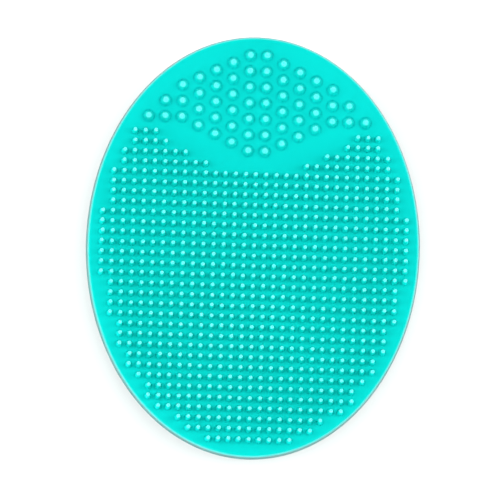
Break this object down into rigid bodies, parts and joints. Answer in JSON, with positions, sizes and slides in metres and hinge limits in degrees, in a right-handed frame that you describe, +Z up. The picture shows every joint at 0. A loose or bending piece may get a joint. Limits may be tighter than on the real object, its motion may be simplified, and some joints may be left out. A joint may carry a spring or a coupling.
{
  "type": "facial cleansing brush",
  "caption": "Oval soft silicone facial cleansing pad with a lattice of fine bristles, a block of coarse nubs, a short flexing finger grip and a suction cup to store it.",
  "frame": {"origin": "centre of the suction cup's lip, on the plane that the brush stands on", "axes": "+Z up through the bristles, +Y along the pad towards the coarse nubs, +X to the right seen from above"},
  "size_m": [0.055, 0.07, 0.0218],
  "materials": {
    "pad_silicone": "soft satin, slightly translucent",
    "grip_silicone": "soft satin, slightly translucent",
    "cup_silicone": "smooth satin, slightly translucent",
    "bristle_silicone": "soft satin, translucent",
    "nub_silicone": "soft satin, translucent"
  },
  "bodies": {
    "lip": {"cup_lip": "cup_silicone", "cup_skirt": "cup_silicone"},
    "crown": {"cup_crown": "cup_silicone", "grip_foot": "grip_silicone"},
    "waist": {"grip_waist": "grip_silicone"},
    "head": {"grip_root": "pad_silicone", "pad_plate": "pad_silicone", "fine_bristles_1": "bristle_silicone", "fine_bristles_2": "bristle_silicone", "fine_bristles_3": "bristle_silicone", "fine_bristles_4": "bristle_silicone", "fine_bristles_5": "bristle_silicone", "fine_bristles_6": "bristle_silicone", "fine_bristles_7": "bristle_silicone", "fine_bristles_8": "bristle_silicone", "fine_bristles_contact": "bristle_silicone", "coarse_nubs_left": "nub_silicone", "coarse_nubs_right": "nub_silicone", "coarse_nubs_contact": "nub_silicone"}
  },
  "joints": [
    {"name": "cup_press", "type": "slide", "parent": "lip", "child": "crown", "axis": [0, 0, -1], "range_m": [0, 0.003], "stiffness_N_per_m": 600, "deforming": ["cup_skirt"]},
    {"name": "pad_rock_lengthwise", "type": "hinge", "parent": "crown", "child": "waist", "pos_m": [0, 0, 0.0125], "axis": [1, 0, 0], "range_deg": [-12, 12], "stiffness_Nm_per_rad": 0.12, "deforming": ["grip_waist"]},
    {"name": "pad_rock_sideways", "type": "hinge", "parent": "waist", "child": "head", "pos_m": [0, 0, 0.0125], "axis": [0, 1, 0], "range_deg": [-12, 12], "stiffness_Nm_per_rad": 0.12, "deforming": ["grip_waist"]}
  ]
}
